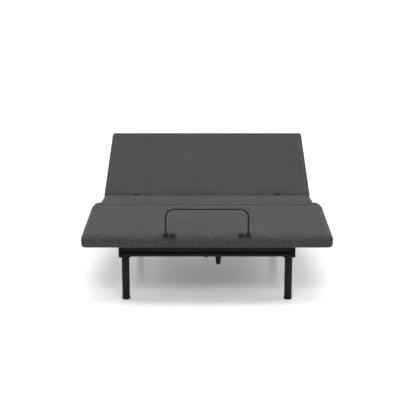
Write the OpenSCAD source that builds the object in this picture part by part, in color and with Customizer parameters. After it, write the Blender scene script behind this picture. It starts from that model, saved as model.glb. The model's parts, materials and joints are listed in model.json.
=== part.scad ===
// Queen-size adjustable bed base: a steel lower frame on four legs carries a padded deck
// in four sections. The back section and the thigh section are raised by linear actuators,
// and the calf section follows the thigh on rollers that run along the side rails.
// Millimetres, +Z up, foot end towards -Y. All stations along the bed are laid out on the
// flat deck, measured from its foot edge, and each section is then turned to its stored angle.

/* [Deck] */
// Width of the deck
deck_w = 1524; // [1372:1:1930]
// Length of the calf section
calf_l = 590; // [570:1:620]
// Length of the thigh section
thigh_l = 330; // [310:1:350]
// Length of the fixed seat section
seat_l = 300; // [280:1:340]
// Length of the back section
back_l = 812; // [700:1:860]
// Thickness of a padded panel, board included
panel_t = 74; // [70:1:90]
// Thickness of the plywood board in a panel
board_t = 15; // [12:1:18]
// Gap between neighbouring panels
panel_gap = 8; // [7:1:12]

/* [Pose] */
// Angle of the back section as stored, from flat
back_rest = 29; // [0:1:58]
// Angle of the thigh section as stored, from flat
thigh_rest = 11; // [0:1:28]

/* [Lower frame] */
// Width over the side rails
frame_w = 1098; // [1096:1:1112]
// Height of the side rails
rail_h = 58; // [56:1:64]
// Width of a side rail's flanges
rail_flange = 22; // [20:1:24]
// Distance from the deck's foot edge to the front legs
leg_setback = 156; // [152:1:165]
// Distance between the front and the rear legs
leg_spacing_y = 1200; // [1195:1:1260]

/* [Legs] */
// Height from the floor to the lower frame
leg_h = 282; // [260:1:320]
// Diameter of a leg
leg_d = 48; // [42:1:50]

/* [Mattress retainer] */
// Distance between the retainer bar's two uprights
retainer_w = 498; // [440:1:600]
// Height of the bar's centreline above the deck
retainer_h = 168; // [120:1:180]
// Diameter of the bar
retainer_d = 10; // [8:1:12]
// Bend radius of the bar's corners
retainer_bend = 52; // [40:1:70]

/* [Hidden] */
$fn = 48;

// Colours of the finishes
black_paint = [0.05, 0.05, 0.055];
black_plastic = [0.09, 0.09, 0.095];
zinc = [0.72, 0.73, 0.75];
charcoal_cloth = [0.24, 0.24, 0.26];
plywood = [0.45, 0.36, 0.25];

// Levels
wall = 2.5;
rail_top = leg_h + rail_h;
tube_s = 30;
tube_wall = 1.5;
tube_bottom = rail_top + 22;
panel_bottom = tube_bottom + tube_s;
deck_top = panel_bottom + panel_t;
edge_r = 18;
z_hinge = deck_top - edge_r;
z_knee = tube_bottom + tube_s / 2;
board_inset = 12;

// Stations along the flat deck, from its foot edge
u_knee = calf_l;
u_thigh = calf_l + thigh_l;
u_back = u_thigh + seat_l;
u_head = u_back + back_l;
u_leg_front = leg_setback;
u_leg_rear = leg_setback + leg_spacing_y;
rail_front = u_leg_front - 34;
rail_rear = u_leg_rear + 34;

// Corner sockets under the lower frame
leg_x = 510;
socket_t = 5;
stud_r = 5;
boss_r = 9;
glide_h = 16;

// Deck frame tubes: the pair along the bed stands at tube_x, and ends short of each hinge
tube_x = 500;
tube_side = tube_x + tube_s / 2;
tube_end_gap = 14;

// Hinges: the fixed ear lies against its tube, the moving ear stands one spacer further out
ear_t = 5;
ear_r = 13;
ear_root = 26;
spacer_t = ear_t + 1;
bolt_r = 5;
play = 0.1;
bolt_head_t = 6;
pocket_x0 = tube_side - bolt_head_t - 2;
pocket_x1 = tube_side + spacer_t + ear_t + bolt_head_t + 2;
pocket_depth = ear_r + 5;

// Rollers that carry the calf section along the top of the rails
roller_r = 19.5;
roller_w = 14;
roller_lift = 0.5;
roller_x = frame_w / 2 - rail_flange / 2;
axle_r = 5;
u_roller = rail_front + 34;
z_roller = rail_top + roller_r + roller_lift;

// The thigh carries the knee hinge up, and the calf slopes so that its rollers stay on the rails
knee_arm = [u_knee - u_thigh, z_knee - z_hinge];
knee_rest_u = u_thigh + knee_arm[0] * cos(thigh_rest) + knee_arm[1] * sin(thigh_rest);
knee_rest_z = z_hinge - knee_arm[0] * sin(thigh_rest) + knee_arm[1] * cos(thigh_rest);
roller_arm = [u_knee - u_roller, z_knee - z_roller];
calf_rest = asin((knee_rest_z - z_roller) / norm(roller_arm)) - atan2(roller_arm[1], roller_arm[0]);

// Actuators: the pin of each rod moves a lever that hangs below the section's hinge
pin_r = 6;
lever_t = 6;
lever_gap = 24;
tip_r = 34;
rod_r = 10;
tube_r = 19;
collar_r = tube_r + 3;
z_rod = leg_h - collar_r - 4;
lever_r = z_hinge - z_rod;
back_actuator_x = -39;
foot_actuator_x = 40;
back_rod_gain = 0.955 * lever_r;
foot_rod_gain = 0.985 * lever_r;
back_max = 60;
thigh_max = 30;
slot_play = 1.5;
slot_steps = 12;
u_foot_pivot = 318;
u_back_pivot = 500;
pivot_setback = 22;
motor_offset = 33;
motor_drop = 88;
motor_r = 23;
motor_cone = 66;
gear_r = 26;

// The retainer bar stands just inside the foot edge
u_retainer = 26;
z_retainer = deck_top + retainer_h;
knob_step = 43;
bracket_t = 3;
lobe_w = 36;
lobe_low = 11;

// Bolts that hold the boards on the tubes, as stations along each section
shank_r = 3;
calf_bolts = [u_knee - 60, u_knee - 240, u_roller + 50];
thigh_bolts = [u_knee + 70, u_thigh - 70];
seat_bolts = [u_thigh + 30, u_back - 30];
back_bolts = [u_back + 90, u_back + 400, u_head - 90];

// The origin is on the floor, midway between the two ends of the stored pose
foot_end = knee_rest_u + (u_retainer - u_knee) * cos(calf_rest)
    - (z_retainer - z_knee) * sin(calf_rest) - retainer_d / 2;
head_end = u_back + (back_l - panel_gap / 2) * cos(back_rest)
    + (z_hinge - panel_bottom) * sin(back_rest);
u_origin = (foot_end + head_end) / 2;

// ---- Placing ----

module on_base() {
    translate([0, -u_origin, 0]) children();
}

module turned(u, z, angle) {
    translate([0, u, z]) rotate([angle, 0, 0]) translate([0, -u, -z]) children();
}

module on_back() {
    on_base() turned(u_back, z_hinge, back_rest) children();
}

module on_thigh() {
    on_base() turned(u_thigh, z_hinge, -thigh_rest) children();
}

module on_calf() {
    on_thigh() turned(u_knee, z_knee, thigh_rest + calf_rest) children();
}

// Draws its children on the right side, or mirrored on the left
module on_side(side) {
    if (side > 0) children();
    else mirror([1, 0, 0]) children();
}

module both_sides() {
    children();
    mirror([1, 0, 0]) children();
}

// Extrudes a profile drawn as (along the bed, up) across the bed from x0 to x1
module across(x0, x1) {
    translate([x0, 0, 0]) rotate([90, 0, 90]) linear_extrude(x1 - x0) children();
}

// Extrudes a profile drawn as (across the bed, up) along the bed from u0 to u1
module along(u0, u1) {
    translate([0, u1, 0]) rotate([90, 0, 0]) linear_extrude(u1 - u0) children();
}

module bar_x(x0, x1, u, z, r) {
    translate([x0, u, z]) rotate([0, 90, 0]) cylinder(h = x1 - x0, r = r);
}

module bar_u(u0, u1, x, z, r) {
    translate([x, u1, z]) rotate([90, 0, 0]) cylinder(h = u1 - u0, r = r);
}

module hex_x(x0, x1, u, z, across_flats) {
    translate([x0, u, z]) rotate([0, 90, 0])
        cylinder(h = x1 - x0, d = across_flats / cos(30), $fn = 6);
}

// ---- Profiles ----

// A lipped channel in section: web at x = 0, open towards +x, standing on y = 0
module channel_profile(h, flange, low_lip, high_lip) {
    bend = 3 * wall;
    difference() {
        union() {
            translate([0, bend]) square([flange, h - 2 * bend]);
            translate([bend, 0]) square([flange - bend, h]);
            for (y = [bend, h - bend]) translate([bend, y]) circle(bend);
        }
        translate([wall, bend]) square([flange - 2 * wall, h - 2 * bend]);
        translate([bend, wall]) square([flange - wall - bend, h - 2 * wall]);
        for (y = [bend, h - bend]) translate([bend, y]) circle(bend - wall);
        translate([flange - 2 * wall, low_lip]) square([3 * wall, h - low_lip - high_lip]);
    }
}

// A hollow square tube in section, centred
module tube_profile() {
    difference() {
        square(tube_s, center = true);
        square(tube_s - 2 * tube_wall, center = true);
    }
}

// ---- Deck frame pieces ----

module tube_along(u0, u1, bolts) {
    difference() {
        along(u0, u1) translate([tube_x, z_knee]) tube_profile();
        for (u = bolts) bolt_hole(u);
    }
}

module tube_across(u) {
    across(-tube_x + tube_s / 2, tube_x - tube_s / 2) translate([u, z_knee]) tube_profile();
}

module bolt_hole(u) {
    translate([tube_x, u, tube_bottom - 1]) cylinder(h = deck_top, r = shank_r + play);
}

// Hex-headed bolts that come up through a tube into its board
module board_bolts(bolts) {
    color(zinc) both_sides() for (u = bolts) {
        translate([tube_x, u, tube_bottom - 4]) cylinder(h = 4, d = 13 / cos(30), $fn = 6);
        translate([tube_x, u, tube_bottom]) cylinder(h = tube_s + board_t - 3, r = shank_r);
    }
}

// An ear that rises from a tube's side to a hinge near the deck's top. dir is +1 where its
// tube lies towards the head, and moving ears stand a spacer further out.
module high_ear(u, dir, moving) {
    x0 = tube_side + (moving ? spacer_t : 0);
    near = u + dir * tube_end_gap;
    far = near + dir * ear_root;
    difference() {
        union() {
            across(x0, x0 + ear_t) union() {
                translate([u, z_hinge]) circle(ear_r);
                polygon([[u - dir * ear_r, z_hinge], [u + dir * ear_r, z_hinge],
                    [u + dir * ear_r, panel_bottom - 1], [far, panel_bottom - 1],
                    [far, tube_bottom], [near, tube_bottom], [u - dir * ear_r, panel_bottom]]);
            }
            if (moving) across(tube_side, x0)
                polygon([[near, tube_bottom], [far, tube_bottom], [far, panel_bottom - 1],
                    [near, panel_bottom - 1]]);
        }
        bar_x(x0 - 1, x0 + ear_t + 1, u, z_hinge, bolt_r + play);
    }
}

// An ear level with its tube, for the knee
module low_ear(dir, moving) {
    x0 = tube_side + (moving ? spacer_t : 0);
    reach = tube_end_gap + ear_root;
    left = dir > 0 ? 0 : -reach;
    spacer_left = dir > 0 ? tube_end_gap : -reach;
    difference() {
        union() {
            across(x0, x0 + ear_t) union() {
                translate([u_knee, z_knee]) circle(ear_r);
                translate([u_knee + left, z_knee - ear_r]) square([reach, 2 * ear_r]);
            }
            if (moving) across(tube_side, x0)
                translate([u_knee + spacer_left, z_knee - ear_r]) square([ear_root, 2 * ear_r]);
        }
        bar_x(x0 - 1, x0 + ear_t + 1, u_knee, z_knee, bolt_r + play);
    }
}

// The bolts of one hinge, with a head inside and a nut outside
module hinge_bolts(u, z) {
    outer = tube_side + spacer_t + ear_t;
    color(zinc) both_sides() {
        bar_x(tube_side - 0.2, outer + 0.2, u, z, bolt_r);
        hex_x(tube_side - 0.2 - bolt_head_t, tube_side - 0.2, u, z, 15);
        hex_x(outer + 0.2, outer + bolt_head_t, u, z, 15);
    }
}

// ---- Panels ----

// The board of one section, from hinge station u0 to u1
module panel_board(u0, u1, bolts) {
    gap = panel_gap / 2 + board_inset;
    color(plywood) difference() {
        translate([-deck_w / 2 + board_inset, u0 + gap, panel_bottom])
            cube([deck_w - 2 * board_inset, u1 - u0 - 2 * gap, board_t]);
        both_sides() for (u = bolts) bolt_hole(u);
        pockets(u0, u1);
    }
}

// Room for the hinge ears, at the ends of a panel
module pockets(u0, u1) {
    both_sides() for (u = [u0, u1])
        if (u == u_thigh || u == u_back)
            translate([pocket_x0, u - pocket_depth, panel_bottom - 1])
                cube([pocket_x1 - pocket_x0, 2 * pocket_depth, z_hinge + ear_r + 2 - panel_bottom]);
}

// Foam and cloth of one section: rounded at the top, wrapped down round the board
module panel_pad(u0, u1) {
    a = u0 + panel_gap / 2;
    b = u1 - panel_gap / 2;
    gap = panel_gap / 2 + board_inset;
    color(charcoal_cloth) difference() {
        across(-deck_w / 2, deck_w / 2) union() {
            translate([a, panel_bottom]) square([b - a, panel_t - edge_r]);
            translate([a + edge_r, panel_bottom]) square([b - a - 2 * edge_r, panel_t]);
            for (u = [a + edge_r, b - edge_r]) translate([u, z_hinge]) circle(edge_r);
        }
        translate([-deck_w / 2 + board_inset - play, u0 + gap - play, panel_bottom - 1])
            cube([deck_w - 2 * board_inset + 2 * play, u1 - u0 - 2 * gap + 2 * play,
                board_t + 1 + play]);
        pockets(u0, u1);
    }
}

// ---- Lower frame ----

module side_rail(side) {
    color(black_paint) on_base() on_side(side) along(rail_front, rail_rear)
        translate([frame_w / 2, leg_h]) mirror([1, 0]) channel_profile(rail_h, rail_flange, 8, 8);
}

// A crossbar between the rails, whose web stands at station u. dir is the way it opens.
module crossbar(u, dir, flange, low_lip) {
    half = frame_w / 2 - rail_flange - play;
    color(black_paint) across(-half, half) translate([u, leg_h])
        mirror([dir < 0 ? 1 : 0, 0]) channel_profile(rail_h, flange, low_lip, 8);
}

module front_crossbar() {
    on_base() crossbar(rail_front + 24, -1, 22, 19);
}

module rear_crossbar() {
    on_base() crossbar(rail_rear - 24, 1, 22, 19);
}

// A crossbar with a pair of ears that hold an actuator's rear pivot
module motor_crossbar(u_pivot, x) {
    web = u_pivot - pivot_setback;
    color(black_paint) on_base() {
        crossbar(web, -1, 22, 12);
        for (side = [-1, 1]) difference() {
            across(x + side * 14 - 2.5, x + side * 14 + 2.5) union() {
                translate([u_pivot, z_rod]) circle(14);
                polygon([[u_pivot + 14, z_rod], [web, rail_top - 8], [web, leg_h + 4],
                    [u_pivot - 14, z_rod]]);
            }
            bar_x(x - 20, x + 20, u_pivot, z_rod, pin_r + play);
        }
    }
}

// Plastic caps pushed into the open ends of the rails
module rail_end_caps() {
    inner_h = rail_h - 2 * wall - 2;
    inner_w = rail_flange - 2 * wall - 1;
    color(black_plastic) on_base() both_sides() for (u = [rail_front + 1, rail_rear - 15])
        translate([frame_w / 2 - rail_flange + wall + 0.5, u, leg_h + wall + 1])
            difference() {
                cube([inner_w - 2, 14, inner_h]);
                translate([2, u < u_leg_rear ? -1 : 2, 2]) cube([inner_w - 6, 13, inner_h - 4]);
            }
}

// A corner plate for each leg, turned up at the end of the frame and threaded for the stud
module leg_sockets() {
    w = frame_w / 2 - leg_x + 36;
    color(black_paint) on_base() both_sides() for (end = [-1, 1])
        translate([leg_x, end < 0 ? u_leg_front : u_leg_rear, leg_h]) mirror([0, (end + 1) / 2, 0])
            difference() {
                union() {
                    translate([-36, -36, -socket_t]) cube([w, 70, socket_t]);
                    translate([-leg_d / 2, -36, -socket_t]) cube([leg_d, 2, socket_t + 11]);
                    cylinder(h = 20, r = boss_r);
                }
                translate([0, 0, -socket_t - 1]) cylinder(h = 22 + socket_t, r = stud_r + play);
            }
}

module leg(side, u) {
    top = leg_h - socket_t;
    color(black_paint) on_base() on_side(side) translate([leg_x, u, 0]) {
        difference() {
            translate([0, 0, glide_h]) cylinder(h = top - glide_h, d = leg_d);
            translate([0, 0, glide_h - 1]) cylinder(h = top - glide_h - 3, d = leg_d - 4);
        }
        translate([0, 0, top - 2]) cylinder(h = socket_t + 18, r = stud_r);
    }
}

// A plastic foot with a spigot that plugs the leg, round at its lower edge
module glide(side, u) {
    r = leg_d / 2 + 1;
    color(black_plastic) on_base() on_side(side) translate([leg_x, u, 0]) {
        rotate_extrude() union() {
            translate([0, 4]) square([r, glide_h - 4]);
            square([r - 4, glide_h]);
            translate([r - 4, 4]) intersection() {
                circle(4);
                translate([-r, -4]) square([2 * r, 8]);
            }
        }
        translate([0, 0, glide_h - 1]) cylinder(h = 19, d = leg_d - 4 - 2 * play);
    }
}

// ---- Seat section, fixed to the rails ----

module seat_supports() {
    color(black_paint) on_base() both_sides() for (u = [u_thigh + 50, u_back - 100]) {
        translate([tube_x - tube_s / 2, u, rail_top])
            cube([frame_w / 2 - tube_x + tube_s / 2, 50, 5]);
        translate([tube_x - tube_s / 2, u, rail_top + 5])
            cube([tube_s, 50, tube_bottom - rail_top - 5]);
    }
}

module seat_tube(side) {
    color(black_paint) on_base() on_side(side) {
        tube_along(u_thigh + tube_end_gap, u_back - tube_end_gap, seat_bolts);
        high_ear(u_thigh, 1, false);
        high_ear(u_back, -1, false);
    }
}

module seat_cross_tube() {
    color(black_paint) on_base() tube_across((u_thigh + u_back) / 2);
}

// Motor controller under the seat, with a power inlet and three motor sockets
module control_box() {
    w = 200;
    l = 120;
    h = 42;
    color(black_plastic) on_base()
        translate([150, (u_thigh + u_back) / 2 - l / 2, tube_bottom - h]) difference() {
            union() {
                translate([4, 0, 0]) cube([w - 8, l, h]);
                translate([0, 4, 0]) cube([w, l - 8, h]);
                for (x = [4, w - 4], u = [4, l - 4]) translate([x, u, 0]) cylinder(h = h, r = 4);
            }
            translate([24, -1, 12]) cube([28, 13, 20]);
            for (x = [90, 125, 160]) translate([x, -1, 22]) rotate([-90, 0, 0])
                cylinder(h = 13, r = 8);
        }
}

// ---- Back section ----

module back_tube(side) {
    color(black_paint) on_back() on_side(side) {
        tube_along(u_back + tube_end_gap, u_head - 50, back_bolts);
        high_ear(u_back, 1, true);
    }
}

// Where a rod's pin lies in its lever, with the section turned back to flat
function pin_in_lever(u, rest, angle, gain, sign) =
    let (du = sign * gain * (angle - rest) * PI / 180, dz = z_rod - z_hinge, t = -sign * angle)
    [u + du * cos(t) - dz * sin(t), z_hinge + du * sin(t) + dz * cos(t)];

// A pair of lever plates hanging from the lift tube at station u_tube. The slot lets the rod
// run straight while the lever swings. sign is +1 where the section rises towards the head.
module lever(u, u_tube, x, rest, limit, gain, sign) {
    tip = (pin_in_lever(u, rest, 0, gain, sign) + pin_in_lever(u, rest, rest, gain, sign)
        + pin_in_lever(u, rest, limit, gain, sign)) / 3;
    s = tube_s / 2;
    lean = atan2(z_knee - tip[1], sign * (u_tube - tip[0]));
    edge = [sin(lean) * sign, -cos(lean)] * tip_r;
    for (side = [-1, 1]) difference() {
        across(x + side * (lever_gap / 2 + lever_t / 2) - lever_t / 2,
            x + side * (lever_gap / 2 + lever_t / 2) + lever_t / 2) difference() {
            union() {
                translate(tip) circle(tip_r);
                polygon([tip + edge, [u_tube + sign * s, z_knee - s - 14],
                    [u_tube + sign * (s + 4), z_knee - s], [u_tube + sign * (s + 4), z_knee + s],
                    [u_tube - sign * s, z_knee + s], tip - edge]);
            }
            translate([u_tube, z_knee]) square(tube_s + 2 * play, center = true);
        }
        for (i = [0:slot_steps]) {
            p = pin_in_lever(u, rest, limit * i / slot_steps, gain, sign);
            bar_x(x - 30, x + 30, p[0], p[1], pin_r + slot_play);
        }
    }
}

// ---- Thigh section ----

module thigh_tube(side) {
    color(black_paint) on_thigh() on_side(side) {
        tube_along(u_knee + tube_end_gap, u_thigh - tube_end_gap, thigh_bolts);
        high_ear(u_thigh, -1, true);
        low_ear(1, false);
    }
}

// ---- Calf section ----

// A tube with the knee ear and the bracket and stub axle of its roller
module calf_tube(side) {
    color(black_paint) on_calf() on_side(side) {
        tube_along(u_roller - 16, u_knee - tube_end_gap, calf_bolts);
        low_ear(-1, true);
        across(tube_side, tube_side + 5) union() {
            translate([u_roller, z_roller]) circle(12);
            translate([u_roller - 12, z_roller]) square([24, panel_bottom - z_roller]);
        }
        bar_x(tube_side, roller_x - roller_w / 2 - 1, u_roller, z_roller, axle_r + 3);
        bar_x(tube_side, roller_x + roller_w / 2 + 3, u_roller, z_roller, axle_r);
    }
}

// A nylon roller with a hub and a rounded tread
module roller(side) {
    half = roller_w / 2;
    color(black_plastic) on_calf() on_side(side)
        translate([roller_x, u_roller, z_roller]) rotate([0, 90, 0]) rotate_extrude()
            union() {
                translate([axle_r + play, -half]) square([5, roller_w]);
                translate([axle_r + play, -half + 4]) square([roller_r - axle_r - play - 2, 6]);
                translate([roller_r - 5, -half + 1]) square([3, roller_w - 2]);
                translate([roller_r - 5, -half + 2]) square([5, roller_w - 4]);
            }
}

module retainer_bar() {
    half = retainer_w / 2;
    straight = retainer_h - retainer_bend;
    color(black_paint) on_calf() {
        both_sides() {
            translate([half, u_retainer, deck_top + bracket_t])
                cylinder(h = straight - bracket_t, d = retainer_d);
            translate([half - retainer_bend, u_retainer, z_retainer - retainer_bend])
                rotate([90, 0, 0]) rotate_extrude(angle = 90)
                    translate([retainer_bend, 0]) circle(d = retainer_d);
        }
        bar_x(-half + retainer_bend, half - retainer_bend, u_retainer, z_retainer, retainer_d / 2);
    }
}

// Plates on the deck's foot edge. Two lobes of each wrap down over the rounded edge, one under
// the bar's socket and one under the knob.
module retainer_brackets() {
    x_bar = retainer_w / 2;
    round_u = panel_gap / 2 + edge_r;
    color(black_paint) on_calf() both_sides() difference() {
        union() {
            translate([x_bar - knob_step - lobe_w / 2, round_u, deck_top])
                cube([knob_step + lobe_w, 30, bracket_t]);
            for (x = [x_bar, x_bar - knob_step]) across(x - lobe_w / 2, x + lobe_w / 2)
                intersection() {
                    difference() {
                        translate([round_u, z_hinge]) circle(edge_r + bracket_t);
                        translate([round_u, z_hinge]) circle(edge_r + play);
                    }
                    translate([0, z_hinge + lobe_low]) square([round_u, 2 * edge_r]);
                }
            translate([x_bar, u_retainer, deck_top + bracket_t]) cylinder(h = 10, r = 13);
        }
        translate([x_bar, u_retainer, deck_top + bracket_t])
            cylinder(h = 20, r = retainer_d / 2 + play);
        translate([x_bar - knob_step, u_retainer, deck_top - 1]) cylinder(h = 20, r = 4 + play);
    }
}

// Hand screws that clamp the plates
module retainer_knobs() {
    color(black_plastic) on_calf() both_sides()
        translate([retainer_w / 2 - knob_step, u_retainer, deck_top]) {
            cylinder(h = 6, r = 4);
            translate([0, 0, bracket_t + 0.2]) cylinder(h = 9, r = 15);
        }
}

// ---- Actuators ----

// Motor and gear housing: the gears sit round the spindle, and the motor hangs beside them
module motor(u_pivot, x) {
    u = u_pivot + 46;
    bottom = z_rod - motor_drop;
    color(black_plastic) on_base() difference() {
        union() {
            bar_u(u - 28, u + 30, x, z_rod, gear_r);
            translate([x, u - 20, z_rod - 20]) cube([motor_offset, 40, 40]);
            translate([x + motor_offset, u, bottom + motor_cone])
                cylinder(h = motor_drop - motor_cone + 22, r = motor_r);
            translate([x + motor_offset, u, bottom]) cylinder(h = motor_cone, r1 = 13, r2 = 21);
            across(x - 9, x + 9) union() {
                translate([u_pivot, z_rod]) circle(13);
                translate([u_pivot, z_rod - 13]) square([20, 26]);
            }
        }
        bar_x(x - 10, x + 10, u_pivot, z_rod, pin_r + play);
        bar_u(u + 8, u + 40, x, z_rod, tube_r + play);
    }
}

module actuator_tube(u_pivot, x, length) {
    u = u_pivot + 54;
    color(black_plastic) on_base() difference() {
        union() {
            bar_u(u + 0.2, u + length, x, z_rod, tube_r);
            bar_u(u + length - 18, u + length + 6, x, z_rod, collar_r);
        }
        bar_u(u - 1, u + length + 7, x, z_rod, rod_r + 0.5);
    }
}

// The inner rod, its end eye and the pin that works the lever
module actuator_rod(u_pin, u_inner, x) {
    head = lever_gap / 2 + lever_t + 1;
    color(zinc) on_base() {
        difference() {
            bar_u(u_inner, u_pin - 8, x, z_rod, rod_r);
            bar_u(u_inner - 1, u_pin - 40, x, z_rod, rod_r - 2.5);
        }
        bar_x(x - 11, x + 11, u_pin, z_rod, 13);
        bar_x(x - head - 0.5, x + head + 0.5, u_pin, z_rod, pin_r);
        for (side = [-1, 1]) bar_x(x + side * (head + 2) - 2, x + side * (head + 2) + 2,
            u_pin, z_rod, pin_r + 3);
    }
}

// The pins of both rear pivots
module actuator_pins() {
    color(zinc) on_base()
        for (p = [[back_actuator_x, u_back_pivot], [foot_actuator_x, u_foot_pivot]]) {
            bar_x(p[0] - 19, p[0] + 19, p[1], z_rod, pin_r);
            for (side = [-1, 1]) bar_x(p[0] + side * 19 - 2, p[0] + side * 19 + 2, p[1], z_rod,
                pin_r + 3);
        }
}

// ---- Nodes ----

side_rail(-1);  // side_rail_left
side_rail(1);  // side_rail_right
front_crossbar();
motor_crossbar(u_foot_pivot, foot_actuator_x);  // foot_motor_crossbar
motor_crossbar(u_back_pivot, back_actuator_x);  // back_motor_crossbar
rear_crossbar();
rail_end_caps();
leg_sockets();
leg(-1, u_leg_front);  // leg_front_left
leg(1, u_leg_front);  // leg_front_right
leg(-1, u_leg_rear);  // leg_rear_left
leg(1, u_leg_rear);  // leg_rear_right
glide(-1, u_leg_front);  // glide_front_left
glide(1, u_leg_front);  // glide_front_right
glide(-1, u_leg_rear);  // glide_rear_left
glide(1, u_leg_rear);  // glide_rear_right
seat_supports();
seat_tube(-1);  // seat_tube_left
seat_tube(1);  // seat_tube_right
seat_cross_tube();
on_base() panel_board(u_thigh, u_back, seat_bolts);  // seat_board
on_base() panel_pad(u_thigh, u_back);  // seat_pad
on_base() board_bolts(seat_bolts);  // seat_board_bolts
control_box();
back_tube(-1);  // back_tube_left
back_tube(1);  // back_tube_right
color(black_paint) on_back() tube_across(u_head - 80);  // back_end_tube
color(black_paint) on_back() tube_across(u_back + 50);  // back_lift_tube
color(black_paint) on_back()  // back_lever
    lever(u_back, u_back + 50, back_actuator_x, back_rest, back_max, back_rod_gain, 1);
on_back() panel_board(u_back, u_head, back_bolts);  // back_board
on_back() panel_pad(u_back, u_head);  // back_pad
on_back() board_bolts(back_bolts);  // back_board_bolts
on_base() hinge_bolts(u_back, z_hinge);  // back_hinge_bolts
thigh_tube(-1);  // thigh_tube_left
thigh_tube(1);  // thigh_tube_right
color(black_paint) on_thigh() tube_across(u_thigh - 50);  // thigh_lift_tube
color(black_paint) on_thigh()  // thigh_lever
    lever(u_thigh, u_thigh - 50, foot_actuator_x, thigh_rest, thigh_max, foot_rod_gain, -1);
on_thigh() panel_board(u_knee, u_thigh, thigh_bolts);  // thigh_board
on_thigh() panel_pad(u_knee, u_thigh);  // thigh_pad
on_thigh() board_bolts(thigh_bolts);  // thigh_board_bolts
on_base() hinge_bolts(u_thigh, z_hinge);  // thigh_hinge_bolts
calf_tube(-1);  // calf_tube_left
calf_tube(1);  // calf_tube_right
color(black_paint) on_calf() tube_across(u_roller + 4);  // calf_end_tube
on_calf() panel_board(0, u_knee, calf_bolts);  // calf_board
on_calf() panel_pad(0, u_knee);  // calf_pad
on_calf() board_bolts(calf_bolts);  // calf_board_bolts
on_thigh() hinge_bolts(u_knee, z_knee);  // knee_hinge_bolts
roller(-1);  // roller_left
roller(1);  // roller_right
retainer_bar();
retainer_brackets();
retainer_knobs();
motor(u_back_pivot, back_actuator_x);  // back_motor
actuator_tube(u_back_pivot, back_actuator_x, 480);  // back_actuator_tube
actuator_rod(u_back, u_back_pivot + 164, back_actuator_x);  // back_actuator_rod
motor(u_foot_pivot, foot_actuator_x);  // foot_motor
actuator_tube(u_foot_pivot, foot_actuator_x, 380);  // foot_actuator_tube
actuator_rod(u_thigh, u_foot_pivot + 140, foot_actuator_x);  // foot_actuator_rod
actuator_pins();
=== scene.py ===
"""Adjustable bed base: materials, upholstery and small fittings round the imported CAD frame."""
import json
import math
import random
import bmesh
import bpy
import numpy as np
from mathutils import Matrix, Vector
from mathutils.bvhtree import BVHTree


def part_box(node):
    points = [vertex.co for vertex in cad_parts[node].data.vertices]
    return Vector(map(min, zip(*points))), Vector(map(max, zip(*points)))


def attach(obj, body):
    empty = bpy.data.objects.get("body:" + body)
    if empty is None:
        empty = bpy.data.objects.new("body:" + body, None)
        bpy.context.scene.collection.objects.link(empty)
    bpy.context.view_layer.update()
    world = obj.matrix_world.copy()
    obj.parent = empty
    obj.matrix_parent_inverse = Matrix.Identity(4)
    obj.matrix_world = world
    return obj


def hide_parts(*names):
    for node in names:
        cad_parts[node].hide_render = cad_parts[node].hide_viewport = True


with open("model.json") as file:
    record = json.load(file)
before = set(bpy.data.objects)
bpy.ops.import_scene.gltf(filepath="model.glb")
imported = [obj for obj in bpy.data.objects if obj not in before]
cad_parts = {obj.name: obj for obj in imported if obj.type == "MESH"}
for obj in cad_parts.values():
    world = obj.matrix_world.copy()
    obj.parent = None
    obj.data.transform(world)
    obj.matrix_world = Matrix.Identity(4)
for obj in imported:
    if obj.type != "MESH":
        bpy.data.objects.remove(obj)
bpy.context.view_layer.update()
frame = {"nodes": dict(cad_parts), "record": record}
NODES = frame["nodes"]
RECORD = frame["record"]
BODY_OF = {node: body for body, nodes in RECORD["behaviour"]["bodies"].items() for node in nodes}
SLOT_OF = {part["node"]: part["material_slot"] for part in RECORD["subparts"]}
MM = 0.001


# ---- Camera, light and floor ----

def lowest(node):
    return Vector(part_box(node)[0])


def highest(node):
    return Vector(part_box(node)[1])


def middle(node):
    return (lowest(node) + highest(node)) / 2


def make_camera():
    """A camera in front of the foot end, at standing height, that looks slightly down."""
    distance_from_legs = 5.203
    height = 1.6606
    pitch = math.radians(11.69)
    off_middle = 0.0024  # of the picture's width
    data = bpy.data.cameras.new("camera")
    data.sensor_width = 36.0
    data.lens = 74.42
    data.shift_x = off_middle
    data.clip_end = 100.0
    camera = bpy.data.objects.new("camera", data)
    camera.location = (0, middle("leg_front_left").y - distance_from_legs, height)
    camera.rotation_euler = (math.pi / 2 - pitch, 0, 0)
    bpy.context.scene.collection.objects.link(camera)
    bpy.context.scene.camera = camera


def make_light(name, place, target, size, watts):
    data = bpy.data.lights.new(name, "AREA")
    data.shape = "RECTANGLE"
    data.size, data.size_y = size
    data.energy = watts
    light = bpy.data.objects.new(name, data)
    light.location = place
    aim = Vector(target) - Vector(place)
    light.rotation_euler = aim.to_track_quat("-Z", "Y").to_euler()
    bpy.context.scene.collection.objects.link(light)


def make_lights():
    world = bpy.data.worlds.new("studio")
    world.use_nodes = True
    background = world.node_tree.nodes["Background"]
    background.inputs["Color"].default_value = (1.0, 1.0, 1.0, 1)
    background.inputs["Strength"].default_value = 0.68
    bpy.context.scene.world = world
    bpy.context.scene.view_settings.view_transform = "Standard"
    make_light("overhead", (0, -0.4, 3.6), (0, -0.3, 0.0), (2.6, 3.0), 104)
    make_light("front", (0, -4.6, 3.5), (0, -1.0, 0.0), (3.4, 1.4), 175)
    make_light("backdrop", (0, 4.5, 5.5), (0, 12.0, 1.0), (9.0, 2.0), 420)
    make_light("left", (-3.6, -1.0, 3.6), (-0.6, -0.8, 0.0), (1.6, 1.6), 62)
    make_light("right", (3.6, -1.0, 3.6), (0.6, -0.8, 0.0), (1.6, 1.6), 72)


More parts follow.
